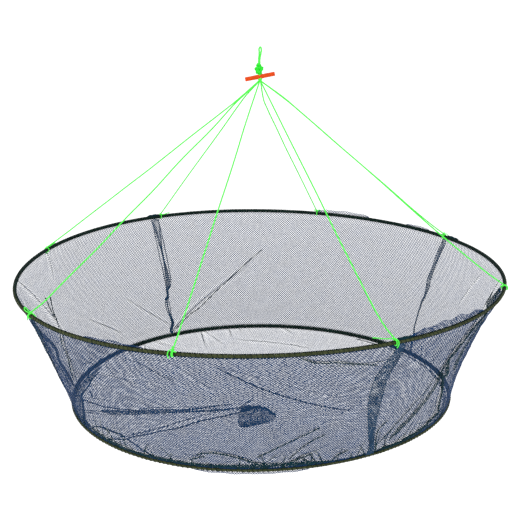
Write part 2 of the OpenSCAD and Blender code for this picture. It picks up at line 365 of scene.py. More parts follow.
# ---------------------------------------------------------------- apex knot
def knot_shape(s, centre, half, thick, strands=4, twist=0.0, n=170, flat=0.75, lay=9 * MM):
    """A tight overhand knot: parallel strands along a trefoil, half = half sizes in mm."""
    t = np.linspace(0, TURN, n, endpoint=False)
    core = np.stack([np.sin(t) + 2 * np.sin(2 * t), -np.sin(3 * t) * 1.6, np.cos(t) - 2 * np.cos(2 * t)], -1)
    core /= np.abs(core).max(0)
    reach = np.array(half) * MM - thick * 1.9
    core = core * reach + centre
    c, sn = math.cos(twist), math.sin(twist)
    d = core - centre
    core = centre + np.stack([c * d[:, 0] - sn * d[:, 1], sn * d[:, 0] + c * d[:, 1], d[:, 2]], -1)
    tan = np.roll(core, -1, 0) - np.roll(core, 1, 0)
    tan /= np.linalg.norm(tan, axis=1)[:, None]
    e1 = np.cross(tan, core - centre)
    e1 /= np.linalg.norm(e1, axis=1)[:, None] + 1e-9
    e2 = np.cross(tan, e1)
    for k in range(strands):
        a = TURN * k / strands + 2 * t
        off = thick * (0.9 if strands > 1 else 0)
        s.tube(core + off * (np.cos(a)[:, None] * e1 + flat * np.sin(a)[:, None] * e2), thick, sides=8,
               lobes=3, depth=0.14, pitch=lay, closed=True, phase=k)


s = Shape()
mid = np.array([0, 0, (KNOT_LOW.z + KNOT_HIGH.z) / 2])
tall = (KNOT_HIGH.z - KNOT_LOW.z) / 2 / MM
for (x, y, z), size, thick, strands, twist in [
    ((-2.2, 0.0, -2.0), (8.6, 7.2, tall - 2.4), 1.35, 4, 0.35), ((-2.6, 0.0, 6.2), (5.4, 5.2, 6.0), 1.35, 2, 1.4),
    ((-5.4, -1.0, 5.6), (3.4, 3.6, 3.6), 1.3, 1, 0.6), ((3.2, -1.0, 0.8), (4.2, 4.2, 4.8), 1.35, 2, 0.2),
    ((-2.4, 0.0, -6.6), (8.0, 6.2, 5.2), 1.35, 3, 2.4), ((-6.6, -1.0, -1.4), (4.0, 4.2, 4.2), 1.3, 2, 1.1),
]:
    knot_shape(s, mid + np.array([x, y, z]) * MM, size, thick * MM, strands=strands, twist=twist)
for k in range(8):
    a = LEG_AZ[k]
    b = np.array([math.cos(a), math.sin(a), 0]) * BUNDLE_R
    s.tube([b * 0.9 + [0, 0, mid[2]], b + [0, 0, mid[2] - 7 * MM], b + [0, 0, KNOT_LOW.z + 0.3 * MM]], 1.0 * MM,
        sides=8)
knot = s.make("apex_knot_cords", GREEN_DARK, "bridle_head", "bridle_cord")
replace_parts(knot, "apex_knot")

# ---------------------------------------------------------------- toggle
s = Shape()
BAR_HALF = 30.2  # half its length in mm
bar_mid = np.array([(BAR_LOW.x + BAR_HIGH.x) / 2, 0, BAR_Z])
tilt = math.radians(11)
nx, ns = 121, 56
xs = np.linspace(-BAR_HALF, BAR_HALF, nx) * MM
phi = np.arange(ns) * TURN / ns
rings = []
for x in xs:
    u = x / (BAR_HALF * MM)
    edge = min(1.0, 0.90 + (1 - abs(u)) * BAR_HALF * 0.14)
    hh = (4.15 + 0.35 * math.exp(-((u / 0.30) ** 2))) * MM * edge
    ww = (4.2 + 0.3 * math.exp(-((u / 0.3) ** 2))) * MM * edge
    turn = 0.42 * math.tanh(u * 6)
    c, sn = np.cos(phi), np.sin(phi)
    k = (np.abs(c) ** 3.6 + np.abs(sn) ** 3.6) ** (-1 / 3.6)
    groove = 1 - 0.10 * np.abs(np.cos(phi * 4 + turn * 3 + 0.5)) ** 14
    fold = 1 - 0.13 * np.exp(-((((u * BAR_HALF - 4.0 - 4.4 * np.sin(phi)) / 1.0) ** 2)))
    y, z = ww * k * c * groove * fold, hh * k * sn * groove * fold
    rings.append(np.stack([np.full(ns, x), y, z], -1))
bar = np.array(rings)
c, sn = math.cos(tilt), math.sin(tilt)
bar = np.stack([bar[..., 0] * c - bar[..., 2] * sn, bar[..., 1], bar[..., 0] * sn + bar[..., 2] * c], -1) + bar_mid
uv = np.stack(np.meshgrid(xs / 0.01, phi / TURN, indexing="ij"), -1)
s.grid(bar, closed_v=True, uv=uv)
s.disc(bar[0])
s.disc(bar[-1], reverse=True)
toggle = s.make("crossbar", ORANGE, "toggle_bar", "toggle_plastic")
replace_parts(toggle, "toggle")


# ---------------------------------------------------------------- hoops
def ring(name, h, rho, mat, body, slot, node, rings=2512, sides=14, ribs=628, rib=0.22 * MM, span=None):
    """A ribbed woven tube all the way round a hoop, or over span = (from, to) azimuths."""
    az = np.linspace(*(span or (0, TURN)), rings, endpoint=bool(span))
    phi = np.arange(sides) * TURN / sides
    a, p = np.meshgrid(az, phi, indexing="ij")
    lump = 0.12 * MM * np.sin(a * 37 + 2 * np.sin(p)) if ribs else 0
    r = rho + rib * np.cos(a * ribs + 2 * p) + lump
    pts = hoop(h, a, r, p)
    uv = np.stack([a * h["r"] / 0.01, p / TURN], -1)
    s = Shape()
    s.grid(pts, closed_u=not span, closed_v=True, uv=uv)
    if span:
        s.disc(pts[0])
        s.disc(pts[-1], reverse=True)
    ob = s.make(name, mat, body, slot)
    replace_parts(ob, node)


def lashing(name, h, body, node, turns, rho=3.55 * MM):
    """Twine wound round the sleeve and the net's edge, with a few uneven turns."""
    n = turns * 14
    az = np.linspace(0, TURN, n, endpoint=False)
    phi = -az * turns + 0.5 * np.sin(az * 23) + 0.3 * np.sin(az * 57)
    path = hoop(h, az + 0.0008 * np.sin(az * 91), rho, phi)
    s = Shape()
    s.tube(path, 0.42 * MM, sides=5, closed=True)
    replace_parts(s.make(name, TWINE, body, "lashing_twine"), node)


for h, body, tag in ((TOP_HOOP, "top_frame", "top"), (LOW_HOOP, "bottom_frame", "bottom")):
    ring(f"{tag}_wire", h, 1.45 * MM, STEEL, body, "spring_steel", f"{tag}_hoop_wire", 720, 10, 0, 0)
    fer = math.radians(95)
    ring(f"{tag}_ferrule", h, 2.1 * MM, STEEL, body, "spring_steel", f"{tag}_hoop_ferrule", 24, 14, 0, 0,
         span=(fer - 0.012 / h["r"], fer + 0.012 / h["r"]))
    ring(f"{tag}_sleeve", h, 2.95 * MM, OLIVE, body, "sleeve_weave", f"{tag}_hoop_sleeve")
    lashing(f"{tag}_lashing", h, body, f"{tag}_hoop_lashing", 330 if tag == "top" else 262)


# ---------------------------------------------------------------- net surfaces
NU, NV = 264, 23  # cloth points round the wall and down it
NR, NA = 26, 180  # cloth points out along the floor and round it
# Section angles at which the wall leaves the upper hoop, meets the lower one, and the floor leaves that.
WALL_START, WALL_END, RIM = math.radians(-100), math.radians(62), math.radians(-112)
HOLD = 4.0 * MM  # the net's distance from a hoop's centre line


def bump_at(az, centre, width):
    d = (az - math.radians(centre) + math.pi) % TURN - math.pi
    return np.exp(-((d / math.radians(width)) ** 2))


def wall_rest():
    """The ruled wall between the hoops, bowed in, as a grid [azimuth, height]."""
    az = np.arange(NU) * TURN / NU
    v = np.linspace(0, 1, NV)
    a = hoop(TOP_HOOP, az, HOLD, WALL_START)[:, None]
    b = hoop(LOW_HOOP, az, HOLD, WALL_END)[:, None]
    p = a * (1 - v)[None, :, None] + b * v[None, :, None]
    bow = (6 + 9 * bump_at(az, 0, 35) + 2 * bump_at(az, 200, 25))[:, None] * MM * 4 * v * (1 - v)
    out = np.stack([np.cos(az), np.sin(az), 0 * az], -1)[:, None]
    return az, v, p - out * bow[..., None]


def floor_rest():
    az = np.arange(NA) * TURN / NA
    s = np.linspace(0, 1, NR)
    rim = hoop(LOW_HOOP, az, HOLD, RIM)
    p = rim[:, None] * np.array([1, 1, 0]) * s[None, :, None]
    depth = (rim[:, 2].mean() - FLOOR_Z - 1.0 * MM) * (1 - s**2)
    p[..., 2] = rim[:, 2][:, None] * s**2 + rim[:, 2].mean() * (1 - s**2) - depth
    return az, s, p


def drape(name, start, rest, quads, pins, frames, gravity, stiffness, bend):
    """Blender's cloth from start towards a mesh whose unstretched shape is rest; returns the settled points."""
    me = bpy.data.meshes.new(name)
    me.from_pydata(start.tolist(), [], quads)
    ob = bpy.data.objects.new(name, me)
    SCENE.collection.objects.link(ob)
    ob.shape_key_add(name="Basis")
    key = ob.shape_key_add(name="rest")
    key.data.foreach_set("co", np.asarray(rest, np.float32).ravel())
    group = ob.vertex_groups.new(name="pin")
    group.add([int(i) for i in pins], 1.0, "REPLACE")
    cloth = ob.modifiers.new("Cloth", "CLOTH").settings
    cloth.rest_shape_key = key
    cloth.vertex_group_mass = "pin"
    cloth.quality = 8
    cloth.mass = 0.02
    cloth.tension_stiffness = cloth.compression_stiffness = stiffness
    cloth.shear_stiffness = stiffness * 0.25
    cloth.bending_stiffness = bend
    cloth.air_damping = 4
    cloth.effector_weights.gravity = gravity
    for f in range(1, frames + 1):
        SCENE.frame_set(f)
    ev = ob.evaluated_get(bpy.context.evaluated_depsgraph_get())
    got = np.empty(len(start) * 3, np.float32)
    ev.data.vertices.foreach_get("co", got)
    SCENE.frame_set(1)
    bpy.data.objects.remove(ob)
    return got.reshape(-1, 3).astype(float)


def blur_u(p, times):
    for _ in range(times):
        p = 0.25 * np.roll(p, 1, 0) + 0.5 * p + 0.25 * np.roll(p, -1, 0)
    return p


def wall_surface():
    az, v, base = wall_rest()
    # Spare width: none at the back, which hangs smooth, and much at both sides, where the mesh folds.
    spare = 0.012 + 0.10 * bump_at(az, 203, 11) + 0.09 * bump_at(az, 338, 12) + 0.03 * bump_at(az, 270, 50)
    spare = spare + 0.02 * bump_at(az, 160, 12) + 0.03 * bump_at(az, 5, 14)
    rest = np.empty_like(base)
    for j in range(NV):
        ring_pts = base[:, j]
        step = np.linalg.norm(np.roll(ring_pts, -1, 0) - ring_pts, axis=1)
        step = step * (1 + spare * (0.35 + 0.65 * math.sin(math.pi * min(1, 0.15 + v[j]))))
        total = step.sum()
        th = np.concatenate([[0], np.cumsum(step)[:-1]]) / total * TURN
        r = total / TURN
        rest[:, j] = np.stack([r * np.cos(th), r * np.sin(th), np.full(NU, base[:, j, 2].mean())], -1)
    mean_z = rest[:, 0, 2].mean()
    rest[..., 2] = mean_z + (rest[..., 2] - mean_z) * 1.006
    start = base.copy()
    out = np.stack([np.cos(az), np.sin(az), 0 * az], -1)
    noise = blur_u(RNG.normal(size=(NU, 1)), 2)[:, 0] * 3
    start += out[:, None] * (noise[:, None] * np.sin(np.pi * v)[None] * 0.9 * MM)[..., None]
    idx = np.arange(NU * NV).reshape(NU, NV)
    nxt = np.roll(idx, -1, 0)
    quads = np.stack([idx[:, :-1], nxt[:, :-1], nxt[:, 1:], idx[:, 1:]], -1).reshape(-1, 4).tolist()
    pins = np.concatenate([idx[:, 0], idx[:, -1]])
    got = drape("wall_cloth", start.reshape(-1, 3), rest.reshape(-1, 3), quads, pins, 36, 0.5, 12, 0.002)
    got = got.reshape(NU, NV, 3)
    move = got - base
    far = np.linalg.norm(move, axis=-1, keepdims=True)
    return base + move * np.minimum(1, 24 * MM / (far + 1e-9))


def floor_surface():
    az, s, base = floor_rest()
    rest = np.empty_like(base)
    seg = np.linalg.norm(np.diff(base, axis=1), axis=-1)
    reach = np.concatenate([np.zeros((NA, 1)), np.cumsum(seg, 1)], 1) * 1.004
    rest[..., 0], rest[..., 1], rest[..., 2] = reach * np.cos(az)[:, None], reach * np.sin(az)[:, None], 0
    start = base.copy()
    start[..., 2] += RNG.normal(size=start.shape[:2]) * 0.4 * MM * (s < 0.98) * (s > 0.01)
    idx = np.arange(NA * NR).reshape(NA, NR)
    nxt = np.roll(idx, -1, 0)
    quads = np.stack([idx[:, 1:-1], idx[:, 2:], nxt[:, 2:], nxt[:, 1:-1]], -1).reshape(-1, 4).tolist()
    quads += [[0, int(idx[i, 1]), int(nxt[i, 1])] for i in range(NA)]
    pins = idx[:, -1]
    flat0, flat1 = start.reshape(-1, 3), rest.reshape(-1, 3)
    got = drape("floor_cloth", flat0, flat1, quads, pins, 36, 1.0, 10, 0.002).reshape(NA, NR, 3)
    got[:, 0] = got[0, 0]
    move = got - base
    far = np.linalg.norm(move, axis=-1, keepdims=True)
    return base + move * np.minimum(1, 14 * MM / (far + 1e-9))


def sample(grid, fu, fv):
    """Smooth values of a grid that closes on itself in its first direction."""

    def weights(f):
        return [
            0.5 * (-f + 2 * f**2 - f**3), 0.5 * (2 - 5 * f**2 + 3 * f**3),
            0.5 * (f + 4 * f**2 - 3 * f**3), 0.5 * (-(f**2) + f**3),
        ]

    nu, nv = grid.shape[:2]
    fv = np.clip(fv, 0, nv - 1)
    i, j = np.floor(fu).astype(int), np.minimum(np.floor(fv).astype(int), nv - 2)
    wu, wv = weights(fu - i), weights(fv - j)
    total = 0
    for a in range(4):
        for b in range(4):
            jj = j + b - 1
            g = grid[(i + a - 1) % nu, np.clip(jj, 0, nv - 1)]
            total = total + (wu[a] * wv[b])[:, None] * g
    return total


WALL = wall_surface()
FLOOR = floor_surface()


def wall_at(az, v):
    """Points of the wall, which runs on round the inside of each hoop where v is under 0 or over 1."""
    az, v = np.broadcast_arrays(np.asarray(az, float), np.asarray(v, float))
    p = sample(WALL, az / TURN * NU, np.clip(v, 0, 1) * (NV - 1))
    up, down = v < 0, v > 1
    if up.any():
        p[up] = hoop(TOP_HOOP, az[up], HOLD, WALL_START + v[up] * DROP / HOLD)
    if down.any():
        rho = HOLD + 0.7 * MM * np.minimum(1, (v[down] - 1) * 60)
        p[down] = hoop(LOW_HOOP, az[down], rho, WALL_END + (v[down] - 1) * DROP / HOLD)
    return p


def floor_at(x, y):
    """Points of the floor for places x, y of a flat disc whose radius is 1."""
    az = np.arctan2(y, x) % TURN
    r = np.minimum(np.hypot(x, y), 1)
    return sample(FLOOR, az / TURN * NA, r * (NR - 1))


def normals_of(func, a, b, ea, eb):
    n = np.cross(func(a + ea, b) - func(a - ea, b), func(a, b + eb) - func(a, b - eb))
    return n / (np.linalg.norm(n, axis=-1, keepdims=True) + 1e-12)


def crease(p, n, shade_mask, path, reach=14 * MM, ridge=3 * MM, power=2.0, full=False):
    """Gathers the points p of a net towards a line, lifts them along normals n as a fold does, marks the gathered
    places that get painted shade.
    """
    path = np.asarray(path)
    lo, hi = path.min(0) - reach, path.max(0) + reach
    near = np.where(((p > lo) & (p < hi)).all(-1))[0]
    if not len(near):
        return p
    q = p[near]
    d = q[:, None] - path[None]
    dist = np.linalg.norm(d, axis=-1)
    k = dist.argmin(1)
    m = np.arange(len(q))
    away, dist = d[m, k], dist[m, k]
    tan = np.gradient(path, axis=0)
    tan /= np.linalg.norm(tan, axis=1)[:, None] + 1e-12
    away = away - tan[k] * (away * tan[k]).sum(1)[:, None]
    t = k / (len(path) - 1)
    fade = np.sin(np.pi * np.clip(t, 0, 1)) ** 0.6
    if full == "start":
        fade = np.clip((1 - t) * 1.6, 0, 1)
    if full == "end":
        fade = np.clip(t * 1.6, 0, 1)
    inside = (dist < reach) * fade
    pull = 1 - (dist / reach).clip(0.02, 1) ** (power - 1)
    shade_mask[near] |= (dist * (1 - pull * inside) < reach * 0.13) & (fade > 0.3)
    q = q - away * (pull * inside)[:, None] + n[near] * (ridge * inside * np.exp(-((dist / reach * 2.6) ** 2)))[:,
        None]
    p = p.copy()
    p[near] = q
    return p


def wall_line(pts, n=40):
    p = smooth_path([(math.radians(a), v, 0) for a, v in pts], n)
    return wall_at(p[:, 0], p[:, 1])


def lattice(i0, i1, j0, j1):
    """The threads of a diamond mesh as pairs of lattice points (i, j) with i + j even."""
    i, j = [a.ravel() for a in np.meshgrid(np.arange(i0, i1 + 1), np.arange(j0, j1 + 1), indexing="ij")]
    even = (i + j) % 2 == 0
    i, j = i[even], j[even]
    right, left = (i < i1) & (j < j1), (i > i0) & (j < j1)
    a = np.concatenate([np.stack([i[right], j[right]], -1), np.stack([i[left], j[left]], -1)])
    b = np.concatenate([np.stack([i[right] + 1, j[right] + 1], -1), np.stack([i[left] - 1, j[left] + 1], -1)])
    return a, b


def threads(name, a, b, n, wide, thick, mat, body):
    """Flat three-sided threads from points a to points b, lying across the normals n."""
    d = b - a
    length = np.linalg.norm(d, axis=1, keepdims=True)
    d = d / (length + 1e-12)
    a, b = a - d * 0.15 * MM, b + d * 0.15 * MM
    side = np.cross(d, n)
    side *= wide / 2 / (np.linalg.norm(side, axis=1, keepdims=True) + 1e-12)
    up = n * thick
    v = np.stack([a + side, a - side, a + up, b + side, b - side, b + up], 1).reshape(-1, 3)
    quad = np.array([[0, 3, 5, 2], [2, 5, 4, 1], [1, 4, 3, 0]])
    loops = (np.arange(len(a))[:, None, None] * 6 + quad[None]).ravel()
    ob = make_mesh(name, v, loops, np.full(len(a) * 3, 4), smooth=False)
    return dress(ob, mat, body)


WIDE, FLOOR_WIDE, THICK = 1.35 * MM, 1.2 * MM, 0.25 * MM  # width and height of a thread
HALF = 2.69 * MM  # half of a diamond's diagonal
COLS, ROWS = 1040, 106  # half diamonds round the wall and down it
WRAP = 5  # diamonds that run on round a hoop
GATHERS = [
    # (azimuth, height) lines of the wall's folds, with how far each draws mesh in and how high it stands
    ([(123, 0.99), (115, 0.84), (105, 0.67), (96, 0.51), (89, 0.33)], 9, 2, 1.8, "start"),
    ([(157, 0.64), (150, 0.76), (143, 0.88)], 7, 1.5, 1.7, False),
    ([(138, 0.60), (130, 0.78), (122, 0.94)], 7, 1.5, 1.6, False),
    ([(163, 0.0), (164, 0.10), (166, 0.22)], 8, 2, 1.8, "start"),
    ([(186, 0.0), (181, 0.20), (176, 0.45), (175, 0.60), (180, 0.85), (186, 1.0)], 12, 3, 2.2, "start"),
    ([(206, 0.0), (203, 0.15), (200, 0.35), (197, 0.55), (194, 0.75), (192, 1.0)], 24, 5, 2.5, "start"),
    ([(213, 0.0), (209, 0.2), (205, 0.42), (200, 0.66), (196, 0.9), (195, 1.0)], 20, -4, 2.4, "start"),
    ([(198, 0.0), (196, 0.25), (193, 0.5), (190, 0.78), (188, 1.0)], 15, 4, 2.2, "start"),
    ([(225, 0.01), (223, 0.15), (221, 0.36), (218, 0.6), (212, 0.85)], 12, 3, 1.9, "start"),
    ([(9, 0.10), (11, 0.25), (13, 0.42)], 8, 2, 1.8, False),
    ([(350, 0.0), (347, 0.14), (343, 0.32), (337, 0.52), (333, 0.72), (330, 0.95)], 18, 5, 2.4, "start"),
    ([(328, 0.0), (325, 0.06), (322, 0.26), (319, 0.44), (316, 0.72), (311, 0.94)], 18, 4, 2.3, "start"),
    ([(356, 0.0), (355, 0.25), (356, 0.5), (360, 0.75), (364, 1.0)], 14, 3, 2.2, "start"),
    ([(324, 0.54), (328, 0.79), (330, 0.90)], 14, 4, 2.2, False),
    ([(278, 0.01), (282, 0.06), (287, 0.08), (296, 0.155)], 9, 2, 1.9, False),
    ([(300, 0.14), (292, 0.13), (284, 0.11)], 8, 2, 1.7, False),
    ([(272, 0.98), (268, 0.93), (263, 0.88), (258, 0.85), (254, 0.88)], 11, 3, 2.0, "start"),
    ([(277, 0.97), (281, 0.91), (284, 0.88), (290, 0.83)], 11, 3, 2.0, "start"),
]
PLEATS = []
for a0, a1, count, low, high in ((188, 236, 22, 0.10, 0.30), (236, 300, 20, 0.05, 0.16), (300, 345, 18, 0.08, 0.26),
                                 (345, 390, 8, 0.05, 0.15), (150, 188, 8, 0.04, 0.12)):
    for k in range(count):
        a = a0 + (a1 - a0) * (k + RNG.uniform(0.1, 0.9)) / count
        h, lean = RNG.uniform(low, high), RNG.uniform(-5, 5)
        PLEATS.append(([(a, 1.02), (a + lean * 0.4, 1 - h * 0.5), (a + lean, 1 - h)], RNG.uniform(6, 11),
                       RNG.uniform(-3, 3), RNG.uniform(1.7, 2.3), "start"))
LINES = [(wall_line(p, 36), r * MM, up * MM, pw, full) for p, r, up, pw, full in GATHERS + PLEATS]


def wall_net(az, v):
    p = wall_at(az, v)
    n = normals_of(wall_at, az, v, 0.004, 0.01)
    inner = (v >= 0) & (v <= 1)
    q, m = p[inner], n[inner]
    near = np.zeros(len(q), bool)
    for path, reach, ridge, power, full in LINES:
        q = crease(q, m, near, path, reach, ridge, power, full)
    edge = np.minimum(1, np.minimum(v[inner], 1 - v[inner]) * 30)[:, None]
    p[inner] = p[inner] * (1 - edge) + q * edge
    shade_mask = np.zeros(len(p), bool)
    shade_mask[inner] = near
    return p, n, shade_mask


def net_piece(name, i0, i1, j0, j1, func, mat, body):
    """Mesh between lattice columns and rows, on a surface given by func(i, j) -> points, normals, gathered places for
    painted shade.
    """
    a, b = lattice(i0, i1, j0, j1)
    span = j1 - j0 + 1
    key = lambda q: (q[:, 0] - i0) * span + (q[:, 1] - j0)
    used, inverse = np.unique(np.concatenate([key(a), key(b)]), return_inverse=True)
    p, n, shade_mask = func(used // span + i0, used % span + j0)
    ia, ib = inverse[: len(a)], inverse[len(a):]
    return darken(threads(name, p[ia], p[ib], n[ia], WIDE, THICK, mat, body), shade_mask[ia])


def darken(ob, shade_mask):
    """Gathered net lets no light through, so its threads get the darker material: painted shade."""
    ob.data.materials.append(NET_PAINTED_SHADE)
    ob.data.polygons.foreach_set("material_index", np.repeat(shade_mask.astype(np.int32), 3))
    return ob


def wall_func(i, j):
    return wall_net(i * TURN / COLS, j / ROWS)


class Bundle:
    """Net drawn together along lines, collected as threads of one piece."""

    def __init__(self):
        self.parts = []

    def strip(self, path, normal, half, step=1.3, rise=1.0, edges=False, ends=(0.08, 0.08), shake=0.25):
        """half = half widths in mm along the path; step = how far apart the drawn-in columns lie, in mm."""
        path = np.asarray(path, float)
        normal = np.broadcast_to(np.asarray(normal, float), path.shape)
        along = np.concatenate([[0], np.cumsum(np.linalg.norm(np.diff(path, axis=0), axis=1))])
        rows, cols = max(4, int(along[-1] / HALF)), max(2, int(round(max(half) / step)))
        pair = []
        tan = np.gradient(path, axis=0)
        dice = RNG.normal(size=(rows + 1, 2 * cols + 1, 2)) * shake * MM
        for q in lattice(-cols, cols, 0, rows):
            s = q[:, 1] / rows
            x = q[:, 0] / cols
            if edges:
                x = np.sin(x * math.pi / 2)
            w = np.interp(s, np.linspace(0, 1, len(half)), half) * MM
            w = w * np.sqrt(np.clip(s / ends[0], 0.02, 1) * np.clip((1 - s) / ends[1], 0.02, 1))
            at = lambda f: np.stack([np.interp(s * along[-1], along, f[:, c]) for c in range(3)], -1)
            p, t, n = at(path), at(tan), at(normal)
            n = n / np.linalg.norm(n, axis=1)[:, None]
            side = np.cross(n, t)
            side /= np.linalg.norm(side, axis=1)[:, None]
            d = dice[q[:, 1], q[:, 0] + cols]
            pair.append((p + side * (x * w + d[:, 0])[:, None] + n * (rise * MM * (1 - x**2) + d[:, 1])[:, None], n))
        self.parts.append((pair[0][0], pair[1][0], pair[0][1]))

    def wall(self, pts, half, off=2.2, inside=False, **kw):
        """A strip along (azimuth, height) places, off mm outside the wall or inside it."""
        q = smooth_path([(math.radians(a), v, 0) for a, v in pts], 80)
        sign = 1 if inside else -1
        n = normals_of(wall_at, q[:, 0], q[:, 1], 0.01, 0.02) * sign
        self.strip(wall_at(q[:, 0], q[:, 1]) + n * off * MM, n, half, **kw)

    def free(self, pts, half, look=(-0.35, -0.9, 0.25), **kw):
        """A strip along places in mm below the upper hoop's plane, facing look."""
        self.strip(smooth_path(np.array(pts) * MM + [0, 0, TOP_Z], 80), look, half, **kw)

    def floor(self, pts, half, off=1.6, **kw):
        """A strip along places in mm on the floor."""
        path = flat(pts, 80) + [0, 0, off * MM]
        self.strip(path, (0, 0, 1), half, **kw)

    def make(self, name, mat, body, slot):
        a, b, n = [np.concatenate([p[k] for p in self.parts]) for k in range(3)]
        return threads(name, a, b, n, WIDE, THICK, mat, body)


def collapse(ob):
    """Gives the piece a mesh of its own."""
    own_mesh(ob)
    return ob


def hem_func(i, j):
    return wall_net(i * TURN / COLS / 2, j / ROWS / 2)


# The sewn joins, whose width varies as the mesh is drawn in: (height, azimuth, width), angles in degrees.
SEAMS = [
    [(0.00, 121.2, 2.1), (0.50, 120.9, 2.1), (0.58, 121.15, 1.5), (0.62, 121.75, 0.5), (0.67, 121.9, 0.4),
        (0.71, 122.5, 1.2),
     (0.775, 122.6, 1.5), (0.84, 122.3, 0.8), (0.885, 122.0, 0.4), (0.917, 121.85, 0.3), (0.97, 122.9, 1.2), (1.00,
         122.3, 0.5)],
    [(0.00, 31.6, 1.3), (0.06, 31.3, 1.7), (0.17, 31.2, 1.3), (0.27, 31.0, 1.0), (0.35, 30.9, 1.5),
        (0.42, 30.3, 1.3), (0.50, 30.2, 0.6),
     (0.56, 30.6, 0.3), (0.75, 30.4, 0.3), (0.85, 29.9, 0.4), (1.00, 29.3, 0.7)],
    [(0.00, 300.6, 1.9), (0.07, 300.2, 2.3), (0.15, 299.7, 2.9), (0.25, 298.8, 3.4), (0.32, 298.3, 3.7),
        (0.43, 298.7, 3.8), (0.54, 299.1, 3.4),
     (0.65, 299.9, 2.7), (0.77, 300.8, 2.1), (0.88, 302.0, 1.2), (0.94, 302.4, 1.6), (1.00, 302.3, 2.6)],
    [(0.00, 214.0, 1.8), (0.20, 210.0, 1.3), (0.42, 205.5, 0.9), (0.70, 199.0, 0.6), (1.00, 188.0, 0.5)],
]
BOUNDS = [(28, 121), (-58, 28), (-146, -58), (-239, -146)]
for k, rows in enumerate(SEAMS):
    hs, _, ws = np.array(rows).T
    inner = k < 2
    path = smooth_path([(math.radians(a), h, 0) for h, a, w in rows], 160)
    n = normals_of(wall_at, path[:, 0], path[:, 1], 0.01, 0.02) * (1 if inner else -1)
    p = wall_at(path[:, 0], path[:, 1])
    radius = TOP_R + (LOW_R - TOP_R) * np.linspace(0, 1, 30)
    half = np.radians(np.interp(np.interp(np.linspace(0, 1, 30), np.linspace(0, 1, 160), path[:, 1]), hs,
        ws)) / 2 * radius / MM
    sewn = Bundle()
    sewn.strip(p + n * 1.2 * MM, n, half, step=2.5, rise=0.3, ends=(0.01, 0.01), shake=0.12)
    for edge in (-1, 1):
        side = np.cross(n, np.gradient(p, axis=0))
        side /= np.linalg.norm(side, axis=1)[:, None]
        w = np.interp(np.linspace(0, 1, 160), np.linspace(0, 1, 30), half)[:, None]
        sewn.strip(p + n * 1.6 * MM + side * edge * w * MM, n, [0.5, 0.5], step=0.5, rise=0.4, ends=(0.01, 0.01),
            shake=0.1)
    ob = sewn.make(f"seam_{k + 1}", NET_SEAM, "top_frame", "doubled_mesh")
    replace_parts(ob, f"wall_seam_{k + 1}")
    collapse(ob)

# Folds seen from outside on the front half of the wall, from inside on the back half, and free ones at both sides.
folds = Bundle()
for layer in (0, 1):
    folds.wall([(328.3, 0.0), (325.5, 0.05), (323.8, 0.162), (321.9, 0.265), (320.9, 0.298), (319.8, 0.381),
        (319.3, 0.44)], [3, 5, 6, 5.5, 4.5, 4, 3.5], off=2.2 + layer)
    folds.wall([(320.8, 0.435), (323.5, 0.535), (326.9, 0.678), (328.5, 0.794), (330.3, 0.884)],
        [1.5, 2.6, 3, 2.6, 2.5], step=1.1, off=2.0 + layer)
    folds.wall([(330.7, 0.888), (325.6, 0.914), (323.3, 0.94), (317.2, 0.962), (312.9, 0.972), (309.3, 0.975),
        (305.0, 0.975)], [3, 4, 4.4, 4, 3, 2.6], off=2.0 + layer)
    folds.free([(-444, -196, -39), (-437, -176, -68), (-425, -162, -90), (-416, -152, -105), (-409, -140, -125),
        (-407, -124, -154), (-400, -112, -176), (-393, -101, -198), (-385, -94, -220)],
        [3.5, 5, 4.5, 4, 3, 2.8, 3, 4, 3], rise=2 + layer)
folds.wall([(323.0, 0.068), (321.9, 0.165), (319.4, 0.224)], [0.9, 0.9])
folds.wall([(331, 0.08), (329, 0.18), (328, 0.344), (329, 0.5)], [4, 9, 11, 6], step=3.0, off=1.2)
folds.wall([(320.9, 0.3), (322.5, 0.4), (325, 0.51)], [0.8, 5, 9], step=1.9, off=1.6, ends=(0.05, 0.02))
folds.wall([(320.3, 0.44), (320.5, 0.555), (318.8, 0.643), (316.5, 0.72), (315.0, 0.754), (313.0, 0.808),
    (310.5, 0.861), (308.4, 0.92)], [5, 7.5, 8, 8, 7.5, 7, 6, 4], step=2.0, off=1.4)
folds.wall([(317.6, 0.494), (315.0, 0.585), (311.9, 0.68), (310.5, 0.735), (307.5, 0.821), (305.3, 0.886),
    (304.5, 0.908)], [0.9, 1, 0.8])
folds.wall([(305.3, 0.713), (303.4, 0.767), (302.9, 0.812), (303.3, 0.885), (304.1, 0.975)], [0.8, 0.9])
folds.wall([(253.5, 0.885), (255, 0.87), (258.6, 0.854), (263.5, 0.884), (267.8, 0.928), (271.5, 0.975)],
    [0.8, 1.2, 1.0])
folds.wall([(252.5, 0.923), (254, 0.905), (255.6, 0.894)], [0.8, 0.8])
folds.wall([(277.1, 0.96), (280.7, 0.914), (284.1, 0.882)], [1.6, 1.2, 0.9], step=0.6)
folds.wall([(281.2, 0.921), (283, 0.95), (284.5, 0.978)], [1.0, 1.2])
folds.wall([(269.3, 0.884), (274.3, 0.802), (280.1, 0.717), (284.9, 0.647)], [0.6, 0.6])
folds.wall([(277.7, 0.911), (282.2, 0.786), (286.7, 0.717)], [0.6, 0.5])
folds.wall([(290.1, 0.974), (291.5, 0.937), (294.6, 0.905)], [1.2, 0.9])
folds.wall([(278.1, 0.012), (281.8, 0.061), (286.9, 0.082), (295.9, 0.155)], [0.8, 0.9, 0.6])
folds.wall([(224.9, 0.012), (223.2, 0.12), (222.9, 0.202), (220.7, 0.362), (219.5, 0.469)], [0.9, 0.9, 0.8])
folds.wall([(218, 0.93), (225, 0.955), (229.7, 0.965), (236, 0.975)], [4, 5, 4, 2.5], step=1.5)
folds.wall([(232, 0.975), (240.5, 0.972), (248, 0.972), (255, 0.972), (266, 0.965), (278, 0.96), (290, 0.975)],
    [2, 2.6, 2.8, 3, 5, 4, 1.5])
